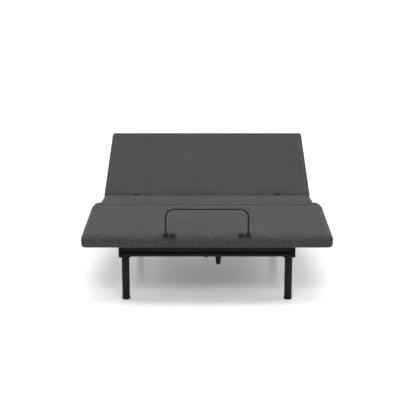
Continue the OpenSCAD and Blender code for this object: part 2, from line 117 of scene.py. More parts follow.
def make_floor():
    """A pale floor that curves up into a backdrop far behind the bed. Its colour is painted brighter from
    under the bed towards the back: painted light that makes the far floor and the backdrop read white.
    """
    half_width, front, bend_start, radius, height = 20.0, -12.0, 9.0, 4.0, 12.0
    profile = [(front, 0.0)]
    steps = 16
    for i in range(steps + 1):
        angle = math.pi / 2 * i / steps
        profile.append((bend_start + radius * math.sin(angle), radius * (1 - math.cos(angle))))
    profile.append((bend_start + radius, height))
    verts = [(x, y, z) for x in (-half_width, half_width) for y, z in profile]
    count = len(profile)
    faces = [(i, i + 1, count + i + 1, count + i) for i in range(count - 1)]
    mesh = bpy.data.meshes.new("floor")
    mesh.from_pydata(verts, [], [face[::-1] for face in faces])
    mesh.shade_smooth()
    floor = bpy.data.objects.new("floor", mesh)
    bpy.context.scene.collection.objects.link(floor)
    shader = Shader("floor_paint", roughness=0.32, specular=0.35)
    tone = shader.noise("Object", scale=0.6, detail=2)
    paint = shader.ramp(tone, (0.3, (0.79, 0.80, 0.812)), (0.7, (0.82, 0.83, 0.842)))
    # Painted light: the colour brightens from y = 0 to 8 m towards the back, so the far floor and the
    # backdrop render white.
    distance = shader.maths("MULTIPLY", shader.axis("Y"), 0.125, clamp=True)
    shader.colour(shader.blend(distance, paint, (0.97, 0.97, 0.97)))
    floor.data.materials.append(shader.material)


# ---- Shader building ----

class Shader:
    """A Principled material, with short calls that add the nodes of its detail."""

    def __init__(self, name, colour=(0.5, 0.5, 0.5), roughness=0.5, metallic=0.0, specular=0.5,
                 sheen=0.0, sheen_roughness=0.5, coat=0.0):
        self.material = bpy.data.materials.new(name)
        self.material.use_nodes = True
        self.tree = self.material.node_tree
        self.surface = self.tree.nodes["Principled BSDF"]
        values = {"Base Color": (*colour, 1), "Roughness": roughness, "Metallic": metallic,
                  "Specular IOR Level": specular, "Sheen Weight": sheen,
                  "Sheen Roughness": sheen_roughness, "Coat Weight": coat}
        for socket, value in values.items():
            self.surface.inputs[socket].default_value = value
        self.normal = None

    def add(self, kind, **settings):
        node = self.tree.nodes.new("ShaderNode" + kind)
        for key, value in settings.items():
            setattr(node, key, value)
        return node

    def link(self, source, target):
        self.tree.links.new(source, target)

    def put(self, value, socket):
        """Feeds a socket with another socket or with a plain number."""
        if hasattr(value, "is_output"):
            self.link(value, socket)
        else:
            socket.default_value = value

    def place(self, space="Object", stretch=(1, 1, 1)):
        """Coordinates in metres: Object, or the name of a stored vector attribute."""
        if space == "Object":
            source = self.add("TexCoord").outputs["Object"]
        else:
            source = self.add("Attribute", attribute_name=space).outputs["Vector"]
        if tuple(stretch) == (1, 1, 1):
            return source
        mapping = self.add("Mapping")
        mapping.inputs["Scale"].default_value = stretch
        self.link(source, mapping.inputs["Vector"])
        return mapping.outputs["Vector"]

    def noise(self, space="Object", scale=10.0, detail=3.0, roughness=0.5, stretch=(1, 1, 1)):
        node = self.add("TexNoise")
        self.link(self.place(space, stretch), node.inputs["Vector"])
        node.inputs["Scale"].default_value = scale
        node.inputs["Detail"].default_value = detail
        node.inputs["Roughness"].default_value = roughness
        return node.outputs["Fac"]

    def cells(self, scale, feature="F1"):
        node = self.add("TexVoronoi", feature=feature)
        self.link(self.place(), node.inputs["Vector"])
        node.inputs["Scale"].default_value = scale
        return node.outputs["Distance"]

    def maths(self, operation, a, b=0.0, c=0.5, clamp=False):
        node = self.add("Math", operation=operation, use_clamp=clamp)
        for value, socket in zip((a, b, c), node.inputs):
            self.put(value, socket)
        return node.outputs[0]

    def axis(self, name, space="Object"):
        """One coordinate, in metres."""
        split = self.add("SeparateXYZ")
        self.link(self.place(space), split.inputs[0])
        return split.outputs[name]

    def weave(self, pitch):
        """A plain weave on the stored cloth coordinates: 0 in the gaps, 1 on the yarns."""
        turn = 2 * math.pi / pitch
        waves = [self.maths("SINE", self.maths("MULTIPLY", self.axis(a, "cloth"), turn)) for a in "XY"]
        return self.maths("MULTIPLY_ADD", self.maths("MULTIPLY", *waves), 0.5)

    def ramp(self, value, *stops):
        """A colour ramp from (position, colour) stops."""
        node = self.add("ValToRGB")
        elements = node.color_ramp.elements
        while len(elements) < len(stops):
            elements.new(0.5)
        for element, (position, colour) in zip(elements, stops):
            element.position = position
            shade = colour if isinstance(colour, tuple) else (colour,) * 3
            element.color = (*shade, 1)
        self.link(value, node.inputs["Fac"])
        return node.outputs["Color"]

    def blend(self, amount, first, second, mode="MIX"):
        node = self.add("Mix", data_type="RGBA", blend_type=mode)
        self.put(amount, node.inputs["Factor"])
        for value, socket in ((first, node.inputs[6]), (second, node.inputs[7])):
            self.put((*value, 1) if isinstance(value, tuple) else value, socket)
        return node.outputs[2]

    def colour(self, value):
        self.put(value, self.surface.inputs["Base Color"])

    def rough(self, value, low, high):
        """Roughness that follows a 0 to 1 value between low and high."""
        node = self.add("MapRange")
        self.link(value, node.inputs["Value"])
        node.inputs["To Min"].default_value = low
        node.inputs["To Max"].default_value = high
        self.link(node.outputs["Result"], self.surface.inputs["Roughness"])

    def bump(self, height, depth, strength=1.0):
        """Adds a bump of this depth in metres, on top of those added before."""
        node = self.add("Bump")
        node.inputs["Distance"].default_value = depth
        node.inputs["Strength"].default_value = strength
        self.link(height, node.inputs["Height"])
        if self.normal is not None:
            self.link(self.normal, node.inputs["Normal"])
        self.normal = node.outputs["Normal"]
        self.link(self.normal, self.surface.inputs["Normal"])


# ---- Materials ----

def cloth_material():
    """Heathered charcoal cloth in a plain weave, on the stored coordinates of each pad."""
    shader = Shader("charcoal_cloth", roughness=0.94, specular=0.12, sheen=0.06, sheen_roughness=0.45)
    across = shader.noise("cloth", scale=60, detail=4, roughness=0.7, stretch=(1, 9, 9))
    along = shader.noise("cloth", scale=60, detail=4, roughness=0.7, stretch=(9, 1, 1))
    yarns = shader.maths("ADD", across, along)
    flecks = shader.ramp(shader.maths("MULTIPLY", yarns, 0.5),
                         (0.38, (0.013, 0.013, 0.0145)), (0.5, (0.030, 0.030, 0.033)),
                         (0.60, (0.066, 0.066, 0.071)))
    patches = shader.noise("cloth", scale=7, detail=3)
    shade = shader.ramp(patches, (0.3, 0.86), (0.7, 1.0))
    shader.colour(shader.blend(1.0, flecks, shade, mode="MULTIPLY"))
    shader.bump(shader.weave(0.0032), 0.0006, 0.6)
    shader.bump(yarns, 0.0009, 0.5)
    return shader.material


def coat_material(name, tone, roughness):
    """Powder coat: orange-peel bump, soft mottling and a little dust on upward faces."""
    shader = Shader(name, roughness=roughness, specular=0.13)
    peel = shader.cells(scale=420, feature="SMOOTH_F1")
    shader.bump(peel, 0.0002, 0.5)
    patches = shader.noise(scale=11, detail=4)
    shader.rough(patches, roughness - 0.09, roughness + 0.12)
    body = shader.ramp(patches, (0.3, tone * 0.85), (0.72, tone * 1.25))
    facing = shader.add("SeparateXYZ")
    shader.link(shader.add("NewGeometry").outputs["Normal"], facing.inputs[0])
    upward = shader.maths("MULTIPLY", facing.outputs["Z"], 0.08, clamp=True)
    specks = shader.ramp(shader.noise(scale=160, detail=5), (0.44, 0.0), (0.7, 1.0))
    dust = shader.maths("MULTIPLY", upward, specks)
    shader.colour(shader.blend(dust, body, (0.14, 0.135, 0.125)))
    return shader.material


def plastic_material():
    """Moulded plastic with a fine spark-eroded grain."""
    tone, roughness = 0.005, 0.52
    shader = Shader("black_plastic", roughness=roughness, specular=0.16)
    grain = shader.noise(scale=900, detail=2)
    shader.bump(grain, 0.00025, 0.55)
    patches = shader.noise(scale=14, detail=4)
    shader.rough(patches, roughness - 0.1, roughness + 0.1)
    shader.colour(shader.ramp(patches, (0.3, tone * 0.88), (0.7, tone * 1.2)))
    return shader.material


def zinc_material():
    """Bright zinc plating, drawn along its length and a little cloudy."""
    shader = Shader("zinc", roughness=0.34, metallic=1.0)
    cloud = shader.noise(scale=38, detail=4)
    shader.colour(shader.ramp(cloud, (0.3, (0.50, 0.51, 0.53)), (0.55, (0.66, 0.67, 0.68)),
                              (0.75, (0.72, 0.70, 0.64))))
    shader.rough(cloud, 0.24, 0.46)
    drawn = shader.noise(scale=240, detail=3, stretch=(1, 0.06, 1))
    shader.bump(drawn, 0.0002, 0.4)
    return shader.material


def plywood_material():
    """Sanded plywood: long figured grain, pores and a few darker streaks."""
    shader = Shader("plywood", roughness=0.62, specular=0.3)
    warp = shader.noise(scale=2.2, detail=3, stretch=(0.35, 1, 1))
    bend = shader.maths("MULTIPLY", warp, 14.0)
    rings = shader.maths("SINE", shader.maths("ADD", bend, shader.maths("MULTIPLY", shader.axis("Y"), 26.0)))
    figure = shader.maths("MULTIPLY_ADD", rings, 0.5)
    streaks = shader.noise(scale=34, detail=5, roughness=0.65, stretch=(0.05, 1, 1))
    mixed = shader.maths("ADD", shader.maths("MULTIPLY", figure, 0.35), streaks)
    shader.colour(shader.ramp(mixed, (0.32, (0.27, 0.165, 0.085)), (0.55, (0.43, 0.295, 0.165)),
                              (0.85, (0.56, 0.41, 0.25))))
    pores = shader.noise(scale=420, detail=2, stretch=(0.04, 1, 1))
    shader.bump(pores, 0.0004, 0.5)
    return shader.material


def lining_material():
    """Thin black non-woven lining, with a pressed point pattern."""
    shader = Shader("lining", colour=(0.018, 0.018, 0.019), roughness=0.95, specular=0.15)
    fibres = shader.noise(scale=130, detail=6, roughness=0.8)
    shader.colour(shader.ramp(fibres, (0.35, 0.012), (0.7, 0.032)))
    points = shader.cells(scale=330)
    shader.bump(points, 0.0005, 0.7)
    return shader.material


def thread_material():
    shader = Shader("thread", roughness=0.7, sheen=0.2)
    twist = shader.noise(scale=700, detail=1)
    shader.colour(shader.ramp(twist, (0.3, 0.022), (0.7, 0.05)))
    shader.bump(twist, 0.0002, 0.5)
    return shader.material


# ---- Mesh helpers ----

def new_object(name, mesh, material, smooth_angle=None):
    mesh.materials.clear()
    mesh.materials.append(material)
    piece = bpy.data.objects.new(name, mesh)
    bpy.context.scene.collection.objects.link(piece)
    if smooth_angle is not None:
        mesh.shade_smooth()
        mesh.set_sharp_from_angle(angle=math.radians(smooth_angle))
    return piece


def tie(piece, body, node=None):
    """Says which body a piece moves with, and hides the CAD node that it stands for."""
    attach(piece, body)
    if node:
        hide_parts(node)


def mesh_from(name, verts, faces):
    mesh = bpy.data.meshes.new(name)
    mesh.from_pydata([tuple(v) for v in verts], [], faces)
    mesh.validate()
    mesh.update()
    return mesh


def rows_of(collection, field):
    """A field of three numbers, read from a mesh collection as the rows of an array."""
    flat = np.empty(len(collection) * 3)
    collection.foreach_get(field, flat)
    return flat.reshape(-1, 3)


def coords(mesh):
    return rows_of(mesh.vertices, "co")


def set_coords(mesh, points):
    mesh.vertices.foreach_set("co", np.asarray(points, dtype=float).ravel())
    mesh.update()


def normals_of(mesh):
    return rows_of(mesh.vertex_normals, "vector")


def apply_modifiers(piece, *modifiers):
    """Applies new modifiers to the object's mesh; each is (type, {setting: value})."""
    for kind, settings in modifiers:
        modifier = piece.modifiers.new(kind.lower(), kind)
        for key, value in settings.items():
            setattr(modifier, key, value)
    depsgraph = bpy.context.evaluated_depsgraph_get()
    mesh = bpy.data.meshes.new_from_object(piece.evaluated_get(depsgraph))
    piece.modifiers.clear()
    old, piece.data = piece.data, mesh
    bpy.data.meshes.remove(old)


class Section:
    """A deck section's own flat frame: x across, y along the bed, z out of the deck's top."""

    def __init__(self, name, body):
        self.name, self.body = name, body
        self.hinged_ends = HINGED_ENDS[name]
        board = NODES[name + "_board"].data
        top = max(board.polygons, key=lambda face: face.area * (face.normal.z > 0))
        up = top.normal.normalized()
        across = Vector((1, 0, 0))
        along = up.cross(across).normalized()
        turn = Matrix((across, along, up)).transposed().to_4x4()
        centred = Matrix.Translation(middle(name + "_board")) @ turn
        low, high = self.span(board, centred.inverted())
        self.to_world = centred @ Matrix.Translation((0, (low.y + high.y) / 2, low.z))
        self.to_flat = self.to_world.inverted()
        self.board = self.span(board, self.to_flat)
        self.thickness = self.board[1].z - self.board[0].z
        low, high = self.span(NODES[name + "_pad"].data, self.to_flat)
        self.half = (high - low) / 2
        self.height = high.z - low.z

    @staticmethod
    def span(mesh, matrix):
        points = [matrix @ vertex.co for vertex in mesh.vertices]
        low = Vector([min(p[i] for p in points) for i in range(3)])
        high = Vector([max(p[i] for p in points) for i in range(3)])
        return low, high

    def node_span(self, node):
        return self.span(NODES[node].data, self.to_flat)


def rounded_loop(half_x, half_y, radius, arc_steps, side_step):
    """Points round a rectangle with rounded corners, anticlockwise."""
    points = []
    centres = [(half_x - radius, half_y - radius), (radius - half_x, half_y - radius),
               (radius - half_x, radius - half_y), (half_x - radius, radius - half_y)]
    for corner, (cx, cy) in enumerate(centres):
        for i in range(arc_steps + 1):
            angle = math.pi / 2 * (corner + i / arc_steps)
            points.append((cx + radius * math.cos(angle), cy + radius * math.sin(angle)))
        nx, ny = centres[(corner + 1) % 4]
        start, end = points[-1], (nx + radius * math.cos(angle), ny + radius * math.sin(angle))
        count = max(1, round(math.dist(start, end) / side_step))
        for i in range(1, count):
            points.append((start[0] + (end[0] - start[0]) * i / count,
                           start[1] + (end[1] - start[1]) * i / count))
    return points


def distance_to_loop(x, y, half_x, half_y, radius):
    """Signed distance from a rounded rectangle's outline, negative inside. Takes arrays."""
    dx = np.abs(x) - (half_x - radius)
    dy = np.abs(y) - (half_y - radius)
    outside = np.hypot(np.maximum(dx, 0), np.maximum(dy, 0))
    return outside + np.minimum(np.maximum(dx, dy), 0) - radius


def band(rows, columns, ring=False):
    """Faces between rows of points, each row closed on itself. A ring joins its last row to its first."""
    faces = []
    for row in range(rows if ring else rows - 1):
        a, b = row * columns, (row + 1) % rows * columns
        for i in range(columns):
            j = (i + 1) % columns
            faces.append((a + i, a + j, b + j, b + i))
    return faces


def caps(rows, columns):
    """The two faces that close the ends of a band."""
    last = (rows - 1) * columns
    return [tuple(range(columns))[::-1], tuple(range(last, last + columns))]


def lathe(profile, steps=48, ring=False, ripple=None):
    """Turns (radius, height) points round the z axis. A ring's profile closes on itself, and
    ripple = (count, depth, low, high) flutes the part between two heights."""
    verts, rows = [], len(profile)
    for radius, height in profile:
        for i in range(steps):
            angle = 2 * math.pi * i / steps
            reach = radius
            if ripple and ripple[2] <= height <= ripple[3]:
                reach += ripple[1] * math.cos(ripple[0] * angle)
            verts.append((reach * math.cos(angle), reach * math.sin(angle), height))
    return mesh_from("turned", verts, band(rows, steps, ring) + ([] if ring else caps(rows, steps)))


def to_mesh(build, name):
    mesh = bpy.data.meshes.new(name)
    build.to_mesh(mesh)
    build.free()
    return mesh


def rounded_box(low, high, radius, segments=2, upright_only=False):
    build = bmesh.new()
    size = Vector(high) - Vector(low)
    centre = (Vector(high) + Vector(low)) / 2
    bmesh.ops.create_cube(build, size=1.0, matrix=Matrix.Translation(centre) @ Matrix.Diagonal((*size, 1)))
    edges = build.edges[:]
    if upright_only:
        edges = [e for e in edges if abs(e.verts[0].co.z - e.verts[1].co.z) > 1e-6]
    bmesh.ops.bevel(build, geom=edges, offset=radius, segments=segments, affect="EDGES", profile=0.5)
    return to_mesh(build, "box")


def plate(outline, low, high, chamfer):
    """An outline drawn as (y, z) and thickened from x = low to x = high, with broken edges."""
    build = bmesh.new()
    first = [build.verts.new((low, y, z)) for y, z in outline]
    second = [build.verts.new((high, y, z)) for y, z in outline]
    build.faces.new(first)
    build.faces.new(second[::-1])
    for i in range(len(outline)):
        j = (i + 1) % len(outline)
        build.faces.new((first[i], second[i], second[j], first[j]))
    rims = [e for e in build.edges if abs(e.verts[0].co.x - e.verts[1].co.x) < 1e-6]
    bmesh.ops.bevel(build, geom=rims, offset=chamfer, segments=2, affect="EDGES", profile=0.5)
    return to_mesh(build, "plate")


def joined(name, parts):
    """One mesh out of several, each given as a mesh or as (mesh, matrix)."""
    build = bmesh.new()
    used = set()
    for part in parts:
        mesh, matrix = part if isinstance(part, tuple) else (part, Matrix())
        used.add(mesh)
        before = len(build.verts)
        build.from_mesh(mesh)
        build.verts.ensure_lookup_table()
        bmesh.ops.transform(build, matrix=matrix, verts=build.verts[before:])
    bmesh.ops.recalc_face_normals(build, faces=build.faces[:])
    result = to_mesh(build, name)
    for mesh in used:
        bpy.data.meshes.remove(mesh)
    return result


def shift(x, y, z, turn=Matrix()):
    return Matrix.Translation((x, y, z)) @ turn


def tube_mesh(path, radius, sides=8):
    """A round tube along a list of points. The radius may be a list, one for each point."""
    radii = radius if isinstance(radius, list) else [radius] * len(path)
    points = [Vector(p) for p in path]
    verts, count = [], len(points)
    side = None
    for i, point in enumerate(points):
        direction = (points[min(i + 1, count - 1)] - points[max(i - 1, 0)]).normalized()
        if side is None:
            side = direction.orthogonal().normalized()
        side = (side - direction * side.dot(direction)).normalized()
        other = direction.cross(side)
        for k in range(sides):
            angle = 2 * math.pi * k / sides
            verts.append(point + (side * math.cos(angle) + other * math.sin(angle)) * radii[i])
    return mesh_from("tube", verts, band(count, sides) + caps(count, sides))


# ---- Upholstery ----

# The pad's shape: corner radii in plan, on top and at the foot, and how far its sides lean in
CORNER_R = 30 * MM
TOP_R = 18 * MM
FOOT_R = 3 * MM
LEAN = 5 * MM
SEAM_INSET = 21 * MM
CORNER_CORE = 26 * MM

# How it is made: grid of the slack cover, length of the simulation and the most that it may swell
PAD_VOXEL = 8 * MM
SIM_FRAMES = 16
SIM_CAP = 6 * MM

# How it meets the board and the hinge ears
LIP = 11.5 * MM
BOARD_COVER = 11 * MM
BOARD_SPARE = 2 * MM
EAR_X = 520.5 * MM
POCKET = 19 * MM
POCKET_HALF = 13.5 * MM

# Under the boards: the tubes' place, which nodes cross each lining, and the ends that meet a hinge
TUBE_X = 500 * MM
LINING_INSET = 37 * MM
CROSS_TUBES = {"seat": ("seat_cross_tube",), "calf": ("calf_end_tube",),
               "thigh": ("thigh_lift_tube",), "back": ("back_end_tube", "back_lift_tube")}
HINGED_ENDS = {"calf": (), "thigh": (1,), "seat": (-1, 1), "back": (-1,)}


def slack_pad(section):
    """The cover before it swells, in loops from its hem up. Its sides lean in towards a crisp lower edge."""
    shrink, upright_share, arc_steps = 3 * MM, 0.76, 6
    height = section.height
    profile = [(LEAN + FOOT_R, 0.0), (LEAN + 0.3 * FOOT_R, 0.3 * FOOT_R), (LEAN, FOOT_R)]
    for share in (0.35, 0.6):
        profile.append((LEAN * (1 - share / upright_share), height * share))
    for i in range(arc_steps + 1):
        angle = math.pi / 2 * i / arc_steps
        profile.append((TOP_R * (1 - math.cos(angle)), height - shrink - TOP_R * (1 - math.sin(angle))))
    verts = []
    for inset, z in profile:
        inset += shrink
        radius = max(CORNER_R - inset, 6 * MM)
        loop = rounded_loop(section.half.x - inset, section.half.y - inset, radius, arc_steps, 40 * MM)
        verts += [(x, y, z) for x, y in loop]
    bottom, top = caps(len(profile), len(loop))
    return mesh_from(section.name + "_pad_slack", verts, [bottom] + band(len(profile), len(loop)) + [top])


def inflate(piece, height):
    """Blows the slack cover up with Blender's cloth, held at its hem, and limits how far it goes."""
    hem_height = 9 * MM
    before = coords(piece.data)
    held = piece.vertex_groups.new(name="hem")
    hem = np.nonzero(before[:, 2] < hem_height)[0]
    held.add([int(i) for i in hem], 1.0, "REPLACE")
    cloth = piece.modifiers.new("cloth", "CLOTH")
    settings = cloth.settings
    settings.use_pressure = True
    settings.uniform_pressure_force = 4.0
    settings.vertex_group_mass = "hem"
    settings.tension_stiffness = settings.compression_stiffness = 30
    settings.bending_stiffness = 0.6
    settings.quality = 4
    settings.effector_weights.gravity = 0
    cloth.collision_settings.use_collision = False
    cloth.point_cache.frame_start = 1
    cloth.point_cache.frame_end = SIM_FRAMES
    scene = bpy.context.scene
    for step in range(1, SIM_FRAMES + 1):
        scene.frame_set(step)
    after = coords(piece.evaluated_get(bpy.context.evaluated_depsgraph_get()).data)
    piece.modifiers.remove(cloth)
    scene.frame_set(1)
    move = after - before
    length = np.linalg.norm(move, axis=1)
    cap = SIM_CAP * (0.2 + 0.8 * np.clip(before[:, 2] / height, 0, 1))
    kept = cap * np.tanh(length / cap)
    move *= (kept / np.maximum(length, 1e-9))[:, None]
    set_coords(piece.data, before + move)


def sewn_details(points, normals, section):
    """Top seam, corner seams, pleats and slow waves, pressed into the swollen cover."""
    seam_depth, corner_depth, pleat_depth, wave_depth = 2.2 * MM, 2.4 * MM, 1.4 * MM, 0.7 * MM
    seam_width, corner_width, pleat_reach, pleat_pitch = 4.5 * MM, 4 * MM, 70 * MM, 9 * MM
    x, y, z = points.T
    ring = distance_to_loop(x, y, section.half.x, section.half.y, CORNER_R)
    on_top = np.clip((z - (section.height - 12 * MM)) / (8 * MM), 0, 1)
    on_side = np.clip((ring + 14 * MM) / (6 * MM), 0, 1) * np.clip(z / (8 * MM), 0, 1)
    on_end = np.abs(y) > section.half.y - 12 * MM
    from_x = np.abs(x) - (section.half.x - CORNER_R * 0.55)
    from_y = np.abs(y) - (section.half.y - CORNER_R * 0.55)
    push = -seam_depth * np.exp(-((ring + SEAM_INSET) / seam_width) ** 2) * on_top
    push -= corner_depth * np.exp(-(from_x / corner_width) ** 2) * on_end * on_side
    near = np.exp(-(np.hypot(from_x, from_y) / pleat_reach) ** 2)
    pleats = np.sin((np.abs(x) - np.abs(y)) / pleat_pitch) * np.sin(z / (26 * MM) + 0.6)
    push += pleat_depth * near * pleats * on_side
    waves = np.sin(x * 9.1 + 1.3) * np.sin(y * 11.7 + 0.4) + 0.6 * np.sin(x * 23.0 + y * 17.0)
    push += wave_depth * waves * on_top
    return points + normals * push[:, None]


def keep_inside(points, section, spare, crown):
    """Fits the swollen cover to the CAD pad's size, with a little spare at the sides and on top."""
    half, ceiling = section.half, section.height + crown
    for axis, limit in ((0, half.x + spare), (1, half.y)):
        points[:, axis] *= limit / np.abs(points[:, axis]).max()
    top = points[:, 2].max()
    if top > ceiling:
        above = np.clip(points[:, 2] - half.z, 0, None)
        points[:, 2] -= above * (1 - (ceiling - half.z) / (top - half.z))
    points[:, 2] = np.clip(points[:, 2], 0, None)
    return points


def square_corners(points, section):
    """Fills the pad's lower corners out, so that they cover the corners of the board."""
    spare, most, full_below, none_above = 3 * MM, 1.60, 18 * MM, 36 * MM
    bx, by = section.board[1].x - CORNER_CORE, section.board[1].y - CORNER_CORE
    dx, dy = np.abs(points[:, 0]) - bx, np.abs(points[:, 1]) - by
    reach, angle = np.hypot(dx, dy), np.arctan2(dy, dx)
    zone = (dx > 0) & (dy > 0)
    steps = np.linspace(0, math.pi / 2, 13)
    factors = []
    for step in steps:
        near = zone & (np.abs(angle - step) < 0.09) & (points[:, 2] < 14 * MM)
        target = (CORNER_CORE + spare) / max(math.cos(step), math.sin(step))
        target = min(target, most * CORNER_CORE)
        factors.append(max(1.0, target / reach[near].max()) if near.any() else 1.0)
    fade = np.clip((none_above - points[:, 2]) / (none_above - full_below), 0, 1)
    grow = 1 + (np.interp(angle, steps, factors) - 1) * fade
    for axis, centre, offset in ((0, bx, dx), (1, by, dy)):
        moved = np.sign(points[:, axis]) * (centre + offset * grow)
        points[:, axis] = np.where(zone, moved, points[:, axis])
    return points


def fit_round_board(points, section):
    """Lifts the pad's underside onto its board, and leaves a lip round the board's edge."""
    seat = section.thickness + BOARD_SPARE
    ring = distance_to_loop(points[:, 0], points[:, 1], section.half.x, section.half.y, 2 * MM)
    under = (points[:, 2] < seat) & (ring < -LIP)
    points[under, 2] = seat
    return points


def cut_pockets(points, section):
    """Room for the hinge ears. The pad steps back round each ear, less beside the board than above it."""
    step, ledge = 5 * MM, 4 * MM
    offset = np.abs(np.abs(points[:, 0]) - EAR_X)
    above_board = np.clip((points[:, 2] - section.thickness - BOARD_SPARE) / ledge, 0, 1)
    depth = BOARD_COVER + (POCKET - BOARD_COVER) * above_board
    depth = depth * np.clip((POCKET_HALF + step - offset) / step, 0, 1)
    for sign in section.hinged_ends:
        limit = section.half.y - depth
        points[:, 1] = sign * np.minimum(sign * points[:, 1], limit)
    return points


def store_cloth(mesh, places):
    """Keeps where each point lies along the cloth, for the weave."""
    layer = mesh.attributes.new("cloth", "FLOAT_VECTOR", "POINT")
    layer.data.foreach_set("vector", places.astype(np.float32).ravel())


def unrolled(mesh):
    """Where each point lies along the cloth, in the pad's own frame, by the side it faces."""
    points, normals = coords(mesh), normals_of(mesh)
    facing = np.abs(normals).argmax(axis=1)
    u = np.where(facing == 0, points[:, 1], points[:, 0])
    v = np.where(facing == 2, points[:, 1], points[:, 2])
    return np.column_stack([u, v, points[:, 2] * 0.2])


def stitches(mesh, section):
    """Short raised threads on both sides of the top seam, laid on the finished cover."""
    length, pitch, thick, from_seam = 6.5 * MM, 11 * MM, 0.9 * MM, 5.5 * MM
    height = section.height
    single = lathe([(0.2 * thick, -0.5 * length), (0.8 * thick, -0.42 * length), (thick, 0),
                    (0.8 * thick, 0.42 * length), (0.2 * thick, 0.5 * length)], steps=6)
    surface = BVHTree.FromPolygons([v.co for v in mesh.vertices], [f.vertices for f in mesh.polygons])
    threads = []
    for inset in (SEAM_INSET - from_seam, SEAM_INSET + from_seam):
        outline = rounded_loop(section.half.x - inset, section.half.y - inset,
                               max(CORNER_R - inset, 4 * MM), 6, pitch)
        on_top = [surface.ray_cast(Vector((x, y, 2 * height)), Vector((0, 0, -1)))[0] for x, y in outline]
        for start, end in zip(on_top, on_top[1:] + on_top[:1]):
            if start is None or end is None or min(start.z, end.z) < height - 9 * MM:
                continue
            if (end - start).length < 0.5 * pitch:
                continue
            turn = (end - start).to_track_quat("Z", "Y").to_matrix().to_4x4()
            threads.append((single, Matrix.Translation((start + end) / 2 + Vector((0, 0, 0.2 * MM))) @ turn))
    return joined("stitches", threads)


def make_pad(section):
    """The cover of one section: swollen foam, seams, pleats and stitches."""
    piece = new_object(section.name + "_cover", slack_pad(section), CLOTH)
    remesh = {"mode": "VOXEL", "voxel_size": PAD_VOXEL, "use_smooth_shade": True}
    apply_modifiers(piece, ("REMESH", remesh), ("SMOOTH", {"factor": 0.5, "iterations": 6}))
    inflate(piece, section.height)
    apply_modifiers(piece, ("SMOOTH", {"factor": 0.5, "iterations": 3}))
    apply_modifiers(piece, ("SUBSURF", {"levels": 1, "subdivision_type": "CATMULL_CLARK"}))
    mesh = piece.data
    points = sewn_details(coords(mesh), normals_of(mesh), section)
    points = keep_inside(points, section, spare=5 * MM, crown=2.5 * MM)
    points = square_corners(points, section)
    points = fit_round_board(points, section)
    set_coords(mesh, cut_pockets(points, section))
    store_cloth(mesh, unrolled(mesh))
    threads = stitches(mesh, section)
    for part in (mesh, threads):
        part.transform(section.to_world)
    mesh.shade_smooth()
    mesh.materials.clear()
    mesh.materials.append(CLOTH)
    seam = new_object(section.name + "_top_stitches", threads, THREAD, smooth_angle=60)
    tie(piece, section.body, section.name + "_pad")
    tie(seam, section.body)


def make_hem(section):
    """The cover's cut edge, folded under the board. It starts further in beside the hinge ears."""
    guide, gather, frayed_from, ear_start, corner_reach = 27, 62 * MM, 40, 11.4, 1.38
    strip = [(8, 2.0), (8.5, -0.9), (13, -2.2), (26, -1.8), (33, -1.1), (41, -1.7), (46, -1.5),
             (46.5, -0.1), (26, 0.6)]
    base = rounded_loop(section.half.x - guide * MM, section.half.y - guide * MM, 8 * MM, 4, 9 * MM)
    verts, count = [], len(base)
    for k, (x, y) in enumerate(base):
        ahead, behind = base[(k + 1) % count], base[k - 1]
        along = Vector((ahead[0] - behind[0], ahead[1] - behind[1])).normalized()
        outward = Vector((along.y, -along.x))
        outward *= min(corner_reach, 1 / max(abs(outward.x), abs(outward.y)))
        pull = 0.5 + 0.5 * math.cos(2 * math.pi * (x + y) / gather)
        hinged = any(sign * y > section.half.y - 60 * MM for sign in section.hinged_ends)
        start = ear_start if hinged and abs(abs(x) - EAR_X) < 20 * MM else 0
        for inset, z in strip:
            inset = max(inset, start)
            slack = 0.9 * (1 - pull) * (-1 if z < -1 else 0)
            edge = 1.6 * math.sin((x - y) / (19 * MM)) if inset > frayed_from else 0
            spot = Vector((x, y)) + outward * (guide - inset - edge) * MM
            verts.append((spot.x, spot.y, (z + slack) * MM))
    mesh = mesh_from(section.name + "_hem", verts, band(count, len(strip), ring=True))
    store_cloth(mesh, coords(mesh))
    mesh.transform(section.to_world)
    tie(new_object(section.name + "_hem", mesh, CLOTH, smooth_angle=70), section.body)


